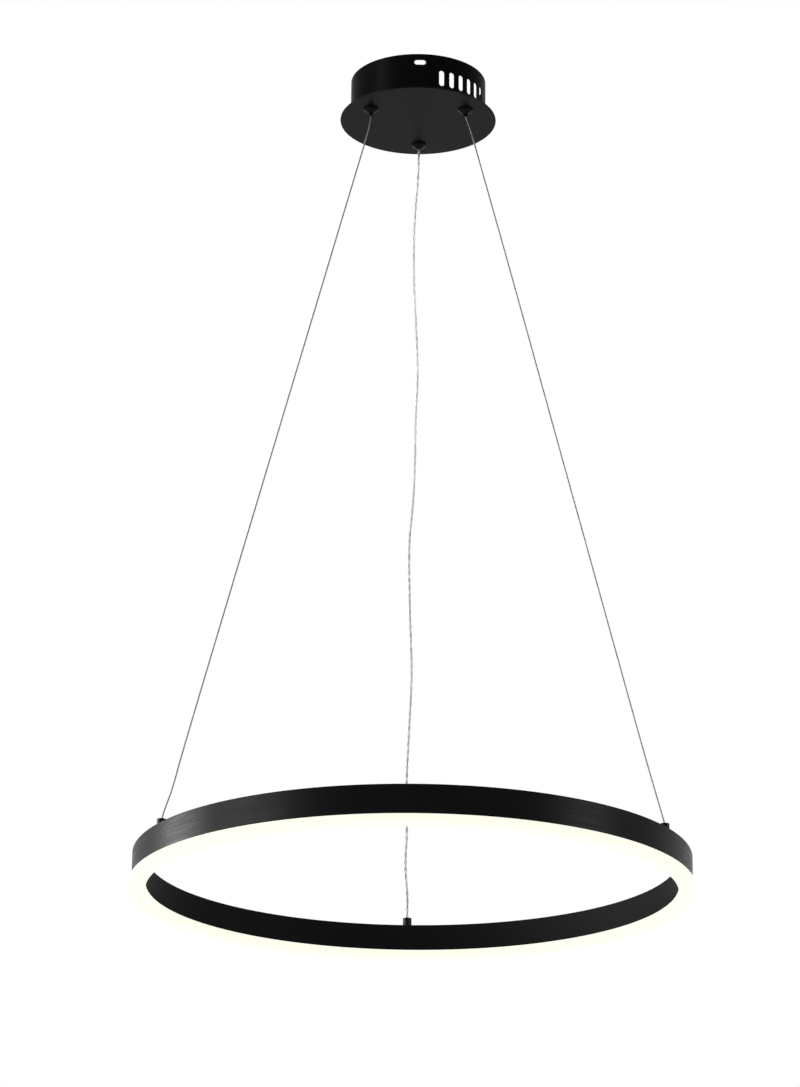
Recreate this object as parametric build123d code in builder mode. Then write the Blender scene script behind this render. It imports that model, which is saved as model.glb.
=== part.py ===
from build123d import *
from math import cos, pi, radians, sin, sqrt, tan
import os

# A ring-shaped LED pendant light, in millimetres. +Z is up, the origin is on the ceiling above the
# middle of the canopy, and the light is seen in its photograph along +Y, from below.

# Canopy
canopy_height = 47.6
plate_radius = 89.0
plate_thickness = 1.5
plate_edge_round = 0.5
can_radius = 77.2
can_wall = 1.0

# Ventilation slots in the can, in two groups that face each other, and the slot by its rim
vent_length = 19.0
vent_width = 6.2
vent_drop = 28.0
vent_count = 6
vent_pitch_angle = 9.35
first_vent_angle = 290.2
rim_slot_length = 13.1
rim_slot_width = 5.9
rim_slot_drop = 10.3
rim_slot_angle = 271.5

# Foot tabs of the can, which stand over welded studs on the plate
foot_count = 4
foot_first_angle = 45.0
foot_width = 14.0
foot_reach = 10.0
stud_inset = 6.5
stud_radius = 1.5
stud_hole_clearance = 0.2
stud_spare = 0.8
small_nut_flats = 5.5
small_nut_height = 2.4
thread_clearance = 0.05

# Ceiling strap, a flat bar whose stepped ends carry two rim hooks of the can
strap_angle = 60.0
strap_width = 20.0
strap_thickness = 1.5
strap_end_clearance = 0.5
strap_end_length = 9.0
strap_step_length = 4.0
strap_hole_circle = 90.0
strap_hole_radius = 2.6
hook_reach = 5.0
hook_width = 28.0

# LED driver and its box
driver_length = 100.0
driver_width = 42.0
driver_height = 22.0
driver_wall = 1.6
driver_back_shift = 6.0
driver_cover_thickness = 1.8
driver_ear_length = 9.0
driver_ear_width = 12.0
driver_ear_thickness = 2.2
board_thickness = 1.6
board_post_height = 2.5
board_post_radius = 2.5
board_side_clearance = 0.4
transformer_size = 18.0
transformer_height = 13.0
capacitor_radius = 4.0
capacitor_length = 12.0
heat_sink_thickness = 2.0

# Mains terminal block and the leads from it to the driver
block_length = 28.0
block_width = 14.0
block_height = 12.0
block_x = -26.0
block_y = -46.0
block_way_count = 3
block_way_pitch = 8.0
block_entry_radius = 1.8
block_entry_depth = 4.0
block_screw_radius = 1.6
block_screw_height = 4.0
lead_radius = 1.1

# Suspension points: a circle on the plate and a circle on the ring
fitting_inset = 14.7
left_fitting_angle = 211.2
right_fitting_angle = 329.8
cord_fitting_angle = 89.2
left_ferrule_angle = 206.7
right_ferrule_angle = 334.1
cord_ferrule_angle = 91.2

# Wire grippers and the cord grip: the cone that shows under the plate, and its shank inside
fitting_flange_radius = 8.4
fitting_flange_height = 1.5
gripper_cone_height = 3.9
gripper_end_radius = 3.0
grip_cone_height = 4.6
grip_nose_radius = 2.4
shank_radius = 5.0
shank_height = 12.0
shank_hole_clearance = 0.1
shank_nut_flats = 14.0
shank_nut_height = 4.0

# Inside a gripper: a sprung cage with three balls in a tapered seat
plunger_radius = 2.2
plunger_bore_clearance = 0.25
plunger_nose_height = 3.4
plunger_mouth_flare = 0.6
plunger_mouth_height = 1.6
plunger_clearance = 0.05
plunger_travel = 3.0
cage_radius = 2.45
cage_height = 5.0
seat_bore_radius = 3.9
seat_slope_angle = 10.0
seat_floor_height = 2.3
ball_radius = 1.25
ball_count = 3
ball_clearance = 0.05
ball_rise = 2.6
gripper_plug_height = 2.5
gripper_plug_clearance = 0.05
spring_wire_radius = 0.22
spring_turns = 5
spring_end_gap = 0.05

# Suspension wires with a crimped stop on top and a crimped bead at the bottom
wire_radius = 0.85
wire_hole_clearance = 0.3
wire_bend_radius = 6.0
wire_stop_radius = 1.7
wire_stop_height = 6.0
crimp_clearance = 0.04

# Power cord
cord_radius = 1.6
cord_hole_clearance = 0.15
bush_radius = 3.4
bush_height = 8.0
bush_clearance = 0.05
cord_crimp_radius = 3.1
cord_crimp_height = 3.0
core_radius = 0.8
core_spacing = 2.4

# Ring: an aluminium channel that opens downwards, with its outer wall a little higher
drop = 871.9
ring_radius = 300.0
ring_width = 15.0
ring_outer_height = 31.2
ring_lip = 2.3
ring_wall = 1.5
ring_deck_thickness = 1.8
ring_edge_round = 0.4
wire_chamber_height = 5.2
rib_reach = 1.2
rib_height = 1.0
led_board_thickness = 1.2
led_board_clearance = 0.3
led_count = 96
led_length = 3.5
led_width = 2.8
led_height = 0.8
diffuser_drop = 9.2
diffuser_rim_reach = 3.0
diffuser_rim_gap = 0.1
diffuser_rim_round = 0.5
diffuser_hidden_height = 10.6
diffuser_wall = 1.5
diffuser_clearance = 0.15
diffuser_round = 2.0

# Ferrules on the ring, each a cap screwed over a flanged stud
ferrule_radius = 5.0
ferrule_height = 9.5
ferrule_wall = 1.5
ferrule_roof = 2.5
ferrule_edge_round = 0.6
ferrule_stud_radius = 2.0
cord_stud_radius = 2.9
ferrule_flange_height = 2.0
ferrule_fit = 0.05
ferrule_nut_height = 2.4
ferrule_nut_wall = 1.6
ferrule_stud_spare = 0.7
bead_radius = 1.8
bead_height = 3.6
wire_end_gap = 0.1

# Free route of the power cord, from under its grip to above its ferrule, bent as it was coiled
cord_route = [
    (0.5, 69.0, -85.0),
    (-1.0, 75.5, -106.0),
    (-3.0, 81.0, -126.0),
    (-3.9, 88.0, -152.0),
    (-4.1, 96.5, -180.0),
    (-3.5, 102.5, -204.0),
    (-2.2, 109.5, -232.0),
    (-0.3, 117.5, -262.0),
    (1.1, 126.0, -292.0),
    (1.6, 131.5, -315.0),
    (-0.6, 141.5, -349.0),
    (-0.5, 150.0, -380.0),
    (-1.0, 157.5, -408.0),
    (-1.9, 165.0, -438.0),
    (-3.8, 171.5, -463.0),
    (-6.9, 180.0, -493.0),
    (-6.6, 189.5, -527.0),
    (-5.9, 198.5, -562.0),
    (-4.6, 207.5, -596.0),
    (-2.9, 217.0, -628.0),
    (-3.0, 224.0, -655.0),
    (-4.6, 232.0, -688.0),
    (-6.2, 240.5, -721.0),
    (-7.5, 249.0, -752.0),
    (-8.6, 257.5, -784.0),
    (-6.7, 267.5, -822.0),
    (-9.2, 277.0, -855.0),
    (-5.8, 285.5, -886.0),
]

# Lengths and heights that follow from the sizes above
fitting_circle_radius = can_radius - fitting_inset
strap_reach = can_radius - can_wall - strap_end_clearance
strap_half_length = sqrt(strap_reach**2 - (strap_width / 2) ** 2)
strap_flat_half_length = strap_half_length - strap_end_length - strap_step_length
plate_bottom = -canopy_height
plate_top = plate_bottom + plate_thickness
foot_top = plate_top + can_wall
ring_top = plate_bottom - drop
deck_top = ring_top - ring_lip
deck_bottom = deck_top - ring_deck_thickness
ring_bottom = ring_top - ring_outer_height
ring_inner_radius = ring_radius - ring_width
ring_mid_radius = ring_radius - ring_width / 2
board_rib_bottom = deck_bottom - wire_chamber_height - rib_height
diffuser_top = ring_bottom + diffuser_hidden_height
diffuser_bottom = ring_bottom - diffuser_drop
ferrule_top = deck_top + ferrule_height
cavity_radius = ferrule_radius - ferrule_wall
cavity_top = ferrule_top - ferrule_roof
shank_top = plate_top + shank_height
flange_bottom = plate_bottom - fitting_flange_height
gripper_bottom = flange_bottom - gripper_cone_height
grip_nose_bottom = flange_bottom - grip_cone_height
plunger_bottom = gripper_bottom - plunger_nose_height
plunger_bore_radius = wire_radius + plunger_bore_clearance
seat_floor = gripper_bottom + seat_floor_height
seat_slope = tan(radians(seat_slope_angle))
ball_reach = wire_radius + ball_clearance + ball_radius
ball_seat_radius = ball_reach + (ball_radius + ball_clearance) / cos(radians(seat_slope_angle))
seat_low_radius = ball_seat_radius - ball_rise * seat_slope
seat_top = seat_floor + (seat_bore_radius - seat_low_radius) / seat_slope
plug_bottom = shank_top - gripper_plug_height
stud_circle_radius = can_radius - can_wall - stud_inset
driver_stud_x = driver_length / 2 + driver_ear_length / 2
stud_top = foot_top + small_nut_height + stud_spare


def on_circle(radius, angle):
    """The point at that radius and angle about the light's own axis."""
    return (radius * cos(radians(angle)), radius * sin(radians(angle)))


def upright(place):
    """A plane whose x runs out from a vertical axis at place, and whose y is up."""
    return Plane(origin=(place[0], place[1], 0), x_dir=(1, 0, 0), z_dir=(0, -1, 0))


def axis_at(place):
    """The vertical axis at place."""
    return Axis((place[0], place[1], 0), (0, 0, 1))


def turned(outline, place):
    """The face of an outline of (radius, height) points, ready to be turned about the axis at place."""
    with BuildSketch(upright(place)) as face:
        with BuildLine():
            Polyline(*outline, close=True)
        make_face()
    return face.sketch


def corner_radii(points):
    """The largest even radius for each corner of a cord's route: 0.45 of its shorter run."""
    radii = []
    for before, corner, after in zip(points, points[1:], points[2:]):
        run_in = Vector(*corner) - Vector(*before)
        run_out = Vector(*after) - Vector(*corner)
        half_turn = radians(run_in.get_angle(run_out)) / 2
        radii.append(0.45 * min(run_in.length, run_out.length) * cos(half_turn) / sin(half_turn))
    return radii


def save(builder, name):
    """Label a finished piece and write it under its name."""
    builder.part.label = name
    export_step(builder.part, f"parts/{name}.step")


def report_cord(name, builder, length, radius, radii):
    """Print a cord's bends, and its volume beside its section times its length."""
    even = pi * radius**2 * length
    print(name, "length", round(length, 1), "tightest radius", round(min(radii), 1))
    print(name, "volume", round(builder.part.volume, 1), "section times length", round(even, 1))


os.makedirs("parts", exist_ok=True)
middle = (0, 0)
fittings = {
    "left": on_circle(fitting_circle_radius, left_fitting_angle),
    "right": on_circle(fitting_circle_radius, right_fitting_angle),
    "cord": on_circle(fitting_circle_radius, cord_fitting_angle),
}
ferrules = {
    "left": on_circle(ring_mid_radius, left_ferrule_angle),
    "right": on_circle(ring_mid_radius, right_ferrule_angle),
    "cord": on_circle(ring_mid_radius, cord_ferrule_angle),
}
feet = PolarLocations(stud_circle_radius, foot_count, foot_first_angle)
driver_ears = Locations((-driver_stud_x, driver_back_shift), (driver_stud_x, driver_back_shift))

# Ceiling strap: the can's hooks rest on its stepped ends
strap_direction = on_circle(1, strap_angle)
strap_side = Plane(
    origin=(0, 0, 0), x_dir=(*strap_direction, 0), z_dir=(strap_direction[1], -strap_direction[0], 0)
)
strap_step = can_wall
with BuildPart() as ceiling_strap:
    with BuildSketch(strap_side):
        with BuildLine() as strap_top:
            Polyline(
                (-strap_half_length, -strap_step),
                (-strap_flat_half_length - strap_step_length, -strap_step),
                (-strap_flat_half_length, 0),
                (strap_flat_half_length, 0),
                (strap_flat_half_length + strap_step_length, -strap_step),
                (strap_half_length, -strap_step),
                (strap_half_length, -strap_step - strap_thickness),
                (strap_flat_half_length + strap_step_length, -strap_step - strap_thickness),
                (strap_flat_half_length, -strap_thickness),
                (-strap_flat_half_length, -strap_thickness),
                (-strap_flat_half_length - strap_step_length, -strap_step - strap_thickness),
                (-strap_half_length, -strap_step - strap_thickness),
                close=True,
            )
        make_face()
    extrude(amount=strap_width / 2, both=True)
    with PolarLocations(strap_hole_circle / 2, 2, strap_angle):
        Hole(strap_hole_radius)
save(ceiling_strap, "ceiling_strap")

# Can: a rolled wall with two rim hooks, four foot tabs, the vents and the rim slot
with BuildPart() as canopy_can:
    with BuildSketch(Plane.XY.offset(plate_top)):
        Circle(can_radius)
        Circle(can_radius - can_wall, mode=Mode.SUBTRACT)
    extrude(amount=-plate_top)
    with BuildSketch(Plane.XY.offset(-can_wall)):
        with PolarLocations(can_radius - can_wall / 2, 2, strap_angle):
            Rectangle(hook_reach, hook_width, align=(Align.MAX, Align.CENTER))
        Circle(can_radius - can_wall / 2, mode=Mode.INTERSECT)
    extrude(amount=can_wall)
    with BuildSketch(Plane.XY.offset(plate_top)):
        with PolarLocations(can_radius - can_wall / 2, foot_count, foot_first_angle):
            Rectangle(foot_reach, foot_width, align=(Align.MAX, Align.CENTER))
        Circle(can_radius - can_wall / 2, mode=Mode.INTERSECT)
        with feet:
            Circle(stud_radius + stud_hole_clearance, mode=Mode.SUBTRACT)
    extrude(amount=can_wall)
    for group_turn in (0, 180):
        for vent in range(vent_count):
            vent_angle = first_vent_angle + group_turn + vent * vent_pitch_angle
            vent_plane = Plane(
                origin=(*on_circle(can_radius, vent_angle), -vent_drop),
                x_dir=(0, 0, 1),
                z_dir=(*on_circle(1, vent_angle), 0),
            )
            with BuildSketch(vent_plane):
                SlotOverall(vent_length, vent_width)
            extrude(amount=2 * can_wall, both=True, mode=Mode.SUBTRACT)
    rim_slot_plane = Plane(
        origin=(*on_circle(can_radius, rim_slot_angle), -rim_slot_drop),
        x_dir=(*on_circle(1, rim_slot_angle + 90), 0),
        z_dir=(*on_circle(1, rim_slot_angle), 0),
    )
    with BuildSketch(rim_slot_plane):
        SlotOverall(rim_slot_length, rim_slot_width)
    extrude(amount=2 * can_wall, both=True, mode=Mode.SUBTRACT)
save(canopy_can, "canopy_can")

# Plate: a disc with holes for the three fittings and studs welded on its upper side
with BuildPart() as canopy_plate:
    with BuildSketch(Plane.XY.offset(plate_bottom)):
        Circle(plate_radius)
        for place in fittings.values():
            with Locations(place):
                Circle(shank_radius + shank_hole_clearance, mode=Mode.SUBTRACT)
    extrude(amount=plate_thickness)
    fillet(canopy_plate.edges().filter_by(GeomType.CIRCLE).sort_by(SortBy.RADIUS)[-2:], plate_edge_round)
    with BuildSketch(Plane.XY.offset(plate_top)):
        with feet:
            Circle(stud_radius)
        with driver_ears:
            Circle(stud_radius)
    extrude(amount=stud_top - plate_top)
save(canopy_plate, "canopy_plate")

# Nuts on the plate's studs: over the can's feet, and over the driver's ears
with BuildPart() as plate_nuts:
    with BuildSketch(Plane.XY.offset(foot_top)):
        with feet:
            RegularPolygon(small_nut_flats / 2, 6, major_radius=False)
            Circle(stud_radius + thread_clearance, mode=Mode.SUBTRACT)
    extrude(amount=small_nut_height)
    with BuildSketch(Plane.XY.offset(plate_top + driver_ear_thickness)):
        with driver_ears:
            RegularPolygon(small_nut_flats / 2, 6, major_radius=False)
            Circle(stud_radius + thread_clearance, mode=Mode.SUBTRACT)
    extrude(amount=small_nut_height)
save(plate_nuts, "plate_nuts")

# Driver box: an open tray with two ears and four posts, a lid, and the circuit board inside
driver_middle = (0, driver_back_shift)
driver_inner_length = driver_length - 2 * driver_wall
driver_inner_width = driver_width - 2 * driver_wall
driver_floor = plate_top + driver_wall
driver_rim = plate_top + driver_height - driver_cover_thickness
board_bottom = driver_floor + board_post_height
board_top = board_bottom + board_thickness
board_length = driver_inner_length - 2 * board_side_clearance
board_width = driver_inner_width - 2 * board_side_clearance
post_grid_x = board_length - 4 * board_post_radius
post_grid_y = board_width - 4 * board_post_radius
entry_height = board_top + 2 * block_entry_radius
lead_ways = [(way - 1) * block_way_pitch + block_x for way in (0, 2)]
tail_x = 25.0
tail_entry_z = board_top + 9.0
with BuildPart() as driver_tray:
    with BuildSketch(Plane.XY.offset(plate_top)):
        with Locations(driver_middle):
            Rectangle(driver_length, driver_width)
    extrude(amount=driver_rim - plate_top)
    with BuildSketch(Plane.XY.offset(driver_floor)):
        with Locations(driver_middle):
            Rectangle(driver_inner_length, driver_inner_width)
    extrude(amount=driver_rim - driver_floor, mode=Mode.SUBTRACT)
    with BuildSketch(Plane.XY.offset(plate_top)):
        with driver_ears:
            Rectangle(driver_ear_length, driver_ear_width)
            Circle(stud_radius + stud_hole_clearance, mode=Mode.SUBTRACT)
    extrude(amount=driver_ear_thickness)
    with BuildSketch(Plane.XY.offset(driver_floor)):
        with Locations(driver_middle):
            with GridLocations(post_grid_x, post_grid_y, 2, 2):
                Circle(board_post_radius)
    extrude(amount=board_post_height)
    with BuildSketch(Plane.XZ.offset(driver_width / 2 - driver_back_shift)):
        for lead_x in lead_ways:
            with Locations((lead_x, entry_height)):
                Circle(lead_radius + wire_hole_clearance)
    extrude(amount=-driver_wall, mode=Mode.SUBTRACT)
    with BuildSketch(Plane.XZ.offset(-driver_width / 2 - driver_back_shift)):
        with Locations((tail_x, tail_entry_z)):
            SlotOverall(core_spacing + 2 * core_radius + 1.0, 2 * core_radius + 1.0)
    extrude(amount=driver_wall, mode=Mode.SUBTRACT)
save(driver_tray, "driver_tray")

with BuildPart() as driver_lid:
    with BuildSketch(Plane.XY.offset(driver_rim)):
        with Locations(driver_middle):
            Rectangle(driver_length, driver_width)
    extrude(amount=driver_cover_thickness)
    chamfer(driver_lid.faces().sort_by(Axis.Z)[-1].edges(), driver_cover_thickness / 3)
save(driver_lid, "driver_lid")

with BuildPart() as driver_board:
    with BuildSketch(Plane.XY.offset(board_bottom)):
        with Locations(driver_middle):
            Rectangle(board_length, board_width)
    extrude(amount=board_thickness)
save(driver_board, "driver_board")

with BuildPart() as driver_components:
    with BuildSketch(Plane.XY.offset(board_top)):
        with Locations(driver_middle):
            Rectangle(transformer_size, transformer_size)
    extrude(amount=transformer_height)
    with BuildSketch(Plane.XY.offset(board_top)):
        with Locations(driver_middle):
            with GridLocations(transformer_size + 4 * capacitor_radius, 3 * capacitor_radius, 2, 2):
                Circle(capacitor_radius)
    extrude(amount=capacitor_length)
    with BuildSketch(Plane.XY.offset(board_top)):
        with Locations(driver_middle):
            with GridLocations(transformer_size + 8 * capacitor_radius, 0, 2, 1):
                Rectangle(heat_sink_thickness, transformer_size)
    extrude(amount=transformer_height)
save(driver_components, "driver_components")

# Terminal block: a bar with a blind entry and a clamp screw for each way
block_top = plate_top + block_height
block_back = block_y + block_width / 2
block_entry_z = plate_top + block_height / 2
with BuildPart() as terminal_block:
    with BuildSketch(Plane.XY.offset(plate_top)):
        with Locations((block_x, block_y)):
            Rectangle(block_length, block_width)
    extrude(amount=block_height)
    with BuildSketch(Plane.XY.offset(block_top)):
        with Locations((block_x, block_y)):
            with GridLocations(block_way_pitch, 0, block_way_count, 1):
                Circle(block_screw_radius + thread_clearance)
    extrude(amount=-block_screw_height, mode=Mode.SUBTRACT)
    for face_y, inward in ((block_back, block_entry_depth), (block_back - block_width, -block_entry_depth)):
        with BuildSketch(Plane.XZ.offset(-face_y)):
            with Locations((block_x, block_entry_z)):
                with GridLocations(block_way_pitch, 0, block_way_count, 1):
                    Circle(block_entry_radius)
        extrude(amount=inward, mode=Mode.SUBTRACT)
save(terminal_block, "terminal_block")

with BuildPart() as terminal_screws:
    with BuildSketch(Plane.XY.offset(block_top)):
        with Locations((block_x, block_y)):
            with GridLocations(block_way_pitch, 0, block_way_count, 1):
                Circle(block_screw_radius)
    extrude(amount=-block_screw_height)
save(terminal_screws, "terminal_screws")

# Mains leads: two insulated wires from the block to the driver's front wall
driver_front = driver_back_shift - driver_width / 2
with BuildPart() as mains_leads:
    for lead_x in lead_ways:
        lead_points = [
            (lead_x, block_back - block_entry_depth, block_entry_z),
            (lead_x, block_back + 5.0, block_entry_z),
            (lead_x, driver_front - 6.0, entry_height),
            (lead_x, driver_front + driver_wall, entry_height),
        ]
        with BuildLine() as lead_line:
            FilletPolyline(*lead_points, radius=corner_radii(lead_points))
        with BuildSketch(Plane(origin=lead_line.line @ 0, z_dir=lead_line.line % 0)):
            Circle(lead_radius)
        sweep(path=lead_line.line)
save(mains_leads, "mains_leads")

# Wire grippers, one each side: body, nut, plug, cage with balls, spring and the wire with its crimps
wire_bend_z = plunger_bottom + wire_bend_radius / 10
for side in ("left", "right"):
    place = fittings[side]
    ferrule = ferrules[side]

    with BuildPart() as gripper_body:
        gripper_outline = [
            (plunger_radius + plunger_clearance, gripper_bottom),
            (gripper_end_radius, gripper_bottom),
            (fitting_flange_radius, flange_bottom),
            (fitting_flange_radius, plate_bottom),
            (shank_radius, plate_bottom),
            (shank_radius, shank_top),
            (seat_bore_radius, shank_top),
            (seat_bore_radius, seat_top),
            (seat_low_radius, seat_floor),
            (plunger_radius + plunger_clearance, seat_floor),
        ]
        revolve(turned(gripper_outline, place), axis=axis_at(place))
    save(gripper_body, f"{side}_gripper_body")

    with BuildPart() as gripper_nut:
        with BuildSketch(Plane.XY.offset(plate_top)):
            with Locations(place):
                RegularPolygon(shank_nut_flats / 2, 6, major_radius=False)
                Circle(shank_radius + thread_clearance, mode=Mode.SUBTRACT)
        extrude(amount=shank_nut_height)
    save(gripper_nut, f"{side}_gripper_nut")

    with BuildPart() as gripper_plug:
        with BuildSketch(Plane.XY.offset(plug_bottom)):
            with Locations(place):
                Circle(seat_bore_radius - gripper_plug_clearance)
                Circle(wire_radius + wire_hole_clearance, mode=Mode.SUBTRACT)
        extrude(amount=gripper_plug_height)
    save(gripper_plug, f"{side}_gripper_plug")

    # The cage stands on the seat's floor; pushed up, it lifts the balls clear of the wire
    cage_top = seat_floor + cage_height
    ball_z = seat_floor + ball_rise
    with BuildPart() as plunger:
        plunger_outline = [
            (plunger_bore_radius + plunger_mouth_flare, plunger_bottom),
            (plunger_radius, plunger_bottom),
            (plunger_radius, seat_floor),
            (cage_radius, seat_floor),
            (cage_radius, cage_top),
            (plunger_bore_radius, cage_top),
            (plunger_bore_radius, plunger_bottom + plunger_mouth_height),
        ]
        revolve(turned(plunger_outline, place), axis=axis_at(place))
        for ball in range(ball_count):
            ball_direction = on_circle(1, 360 / ball_count * ball)
            with BuildSketch(Plane(origin=(*place, ball_z), z_dir=(*ball_direction, 0))):
                Circle(ball_radius + ball_clearance)
            extrude(amount=cage_radius + ball_radius, mode=Mode.SUBTRACT)
    save(plunger, f"{side}_plunger")

    with BuildPart() as balls:
        with Locations((*place, ball_z)):
            with PolarLocations(ball_reach, ball_count):
                Sphere(ball_radius)
    save(balls, f"{side}_balls")

    # Return spring between the cage and the plug
    spring_low = cage_top + spring_wire_radius + spring_end_gap
    spring_high = plug_bottom - spring_wire_radius - spring_end_gap
    spring_coil_radius = cage_radius - spring_wire_radius
    with BuildPart() as spring:
        with BuildLine() as coil:
            Helix(
                pitch=(spring_high - spring_low) / spring_turns,
                height=spring_high - spring_low,
                radius=spring_coil_radius,
                center=(*place, spring_low),
            )
        with BuildSketch(Plane(origin=coil.line @ 0, z_dir=coil.line % 0)):
            Circle(spring_wire_radius)
        sweep(path=coil.line, is_frenet=True)
    save(spring, f"{side}_spring")

    with BuildPart() as wire_stop:
        with BuildSketch(Plane.XY.offset(shank_top)):
            with Locations(place):
                Circle(wire_stop_radius)
                Circle(wire_radius + crimp_clearance, mode=Mode.SUBTRACT)
        extrude(amount=wire_stop_height)
    save(wire_stop, f"{side}_wire_stop")

    # The wire is straight between the gripper's mouth and the ferrule's, and upright inside both
    bead_top = deck_top + ferrule_flange_height + bead_height
    wire_points = [
        (*place, shank_top + wire_stop_height),
        (*place, wire_bend_z),
        (*ferrule, ferrule_top),
        (*ferrule, bead_top + wire_end_gap),
    ]
    wire_radii = [wire_bend_radius, wire_bend_radius]
    with BuildPart() as wire:
        with BuildLine() as wire_line:
            wire_route = FilletPolyline(*wire_points, radius=wire_radii)
        with BuildSketch(Plane(origin=wire_line.line @ 0, z_dir=wire_line.line % 0)):
            Circle(wire_radius)
        sweep(path=wire_line.line)
    report_cord(f"{side}_wire", wire, wire_route.length, wire_radius, wire_radii)
    save(wire, f"{side}_wire")

# Cord grip: the same cone with a wider bore, a soft bush that holds the cord, and a nut
cord_place = fittings["cord"]
with BuildPart() as cord_grip_body:
    grip_outline = [
        (cord_radius + cord_hole_clearance, grip_nose_bottom),
        (grip_nose_radius, grip_nose_bottom),
        (fitting_flange_radius, flange_bottom),
        (fitting_flange_radius, plate_bottom),
        (shank_radius, plate_bottom),
        (shank_radius, shank_top),
        (bush_radius + bush_clearance, shank_top),
        (bush_radius + bush_clearance, shank_top - bush_height),
        (cord_radius + cord_hole_clearance, shank_top - bush_height),
    ]
    revolve(turned(grip_outline, cord_place), axis=axis_at(cord_place))
save(cord_grip_body, "cord_grip_body")

with BuildPart() as cord_grip_bush:
    with BuildSketch(Plane.XY.offset(shank_top - bush_height)):
        with Locations(cord_place):
            Circle(bush_radius)
            Circle(cord_radius + bush_clearance, mode=Mode.SUBTRACT)
    extrude(amount=bush_height)
save(cord_grip_bush, "cord_grip_bush")

with BuildPart() as cord_grip_nut:
    with BuildSketch(Plane.XY.offset(plate_top)):
        with Locations(cord_place):
            RegularPolygon(shank_nut_flats / 2, 6, major_radius=False)
            Circle(shank_radius + thread_clearance, mode=Mode.SUBTRACT)
    extrude(amount=shank_nut_height)
save(cord_grip_nut, "cord_grip_nut")

with BuildPart() as cord_stop:
    with BuildSketch(Plane.XY.offset(shank_top)):
        with Locations(cord_place):
            Circle(cord_crimp_radius)
            Circle(cord_radius + crimp_clearance, mode=Mode.SUBTRACT)
    extrude(amount=cord_crimp_height)
save(cord_stop, "cord_stop")

# Power cord: its two bared cores inside the canopy, the free stretch, and the end in the far ferrule
tail_bottom = shank_top + cord_crimp_height
driver_back = driver_back_shift + driver_width / 2
tail_points = [
    (*cord_place, tail_bottom),
    (*cord_place, tail_bottom + 11.0),
    (6.0, 52.0, tail_bottom + 20.0),
    (15.0, 46.0, tail_bottom + 18.0),
    (22.0, 41.0, tail_bottom + 10.0),
    (tail_x, driver_back + 7.5, tail_entry_z),
    (tail_x, driver_back - driver_wall, tail_entry_z),
]
across = Vector(cord_place[1] - driver_back, tail_x - cord_place[0], 0).normalized()
with BuildPart() as cord_tail:
    for shift in (-core_spacing / 2, core_spacing / 2):
        core_points = [(x + shift * across.X, y + shift * across.Y, z) for x, y, z in tail_points]
        core_radii = corner_radii(core_points)
        with BuildLine() as core_line:
            core_route = FilletPolyline(*core_points, radius=core_radii)
        with BuildSketch(Plane(origin=core_line.line @ 0, z_dir=core_line.line % 0)):
            Circle(core_radius)
        sweep(path=core_line.line)
report_cord("cord_tail", cord_tail, 2 * core_route.length, core_radius, core_radii)
save(cord_tail, "cord_tail")

cord_ferrule = ferrules["cord"]
cord_points = [(*cord_place, tail_bottom), (*cord_place, grip_nose_bottom - 6 * cord_radius), *cord_route]
cord_points += [(*cord_ferrule, ferrule_top + 3 * cord_radius), (*cord_ferrule, ferrule_top)]
cord_radii = corner_radii(cord_points)
with BuildPart() as power_cord:
    with BuildLine() as cord_line:
        free_route = FilletPolyline(*cord_points, radius=cord_radii)
    with BuildSketch(Plane(origin=cord_line.line @ 0, z_dir=cord_line.line % 0)):
        Circle(cord_radius)
    sweep(path=cord_line.line)
report_cord("power_cord", power_cord, free_route.length, cord_radius, cord_radii)
save(power_cord, "power_cord")

cord_end_bottom = deck_bottom - ferrule_nut_height - ferrule_stud_spare
with BuildPart() as cord_end:
    with BuildSketch(Plane.XY.offset(cord_end_bottom)):
        with Locations(cord_ferrule):
            Circle(cord_radius)
    extrude(amount=ferrule_top - cord_end_bottom)
save(cord_end, "cord_end")

# Ring profile: two walls and a deck, with ribs that locate the LED board and the diffuser
with BuildPart() as ring_profile:
    with BuildSketch(Plane.XZ) as ring_section:
        with Locations((ring_radius - ring_wall, ring_bottom)):
            Rectangle(ring_wall, ring_outer_height, align=(Align.MIN, Align.MIN))
        with Locations((ring_inner_radius, ring_bottom)):
            Rectangle(ring_wall, ring_outer_height - ring_lip, align=(Align.MIN, Align.MIN))
        with Locations((ring_mid_radius, deck_bottom)):
            Rectangle(ring_width - ring_wall, ring_deck_thickness, align=(Align.CENTER, Align.MIN))
        rib_radii = (ring_inner_radius + ring_wall, ring_radius - ring_wall - rib_reach)
        for rib_bottom in (board_rib_bottom, diffuser_top):
            with Locations(*[(rib_radius, rib_bottom) for rib_radius in rib_radii]):
                Rectangle(rib_reach, rib_height, align=(Align.MIN, Align.MIN))
        outer_corners = ring_section.vertices().group_by(Axis.X)[-1]
        inner_corners = ring_section.vertices().group_by(Axis.X)[0]
        fillet(outer_corners + inner_corners, ring_edge_round)
    revolve(axis=Axis.Z)
    for side, place in ferrules.items():
        ring_hole_radius = (cord_stud_radius if side == "cord" else ferrule_stud_radius) + stud_hole_clearance
        with BuildSketch(Plane.XY.offset(deck_bottom)):
            with Locations(place):
                Circle(ring_hole_radius)
        extrude(amount=ring_deck_thickness, mode=Mode.SUBTRACT)
save(ring_profile, "ring_profile")

# LED board under the upper ribs, with a solder lead to the cord's end, and its LEDs
led_board_top = board_rib_bottom
board_reach = ring_width - 2 * ring_wall - 2 * led_board_clearance
with BuildPart() as led_board:
    with BuildSketch(Plane.XY.offset(led_board_top)):
        Circle(ring_mid_radius + board_reach / 2)
        Circle(ring_mid_radius - board_reach / 2, mode=Mode.SUBTRACT)
    extrude(amount=-led_board_thickness)
save(led_board, "led_board")

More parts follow.
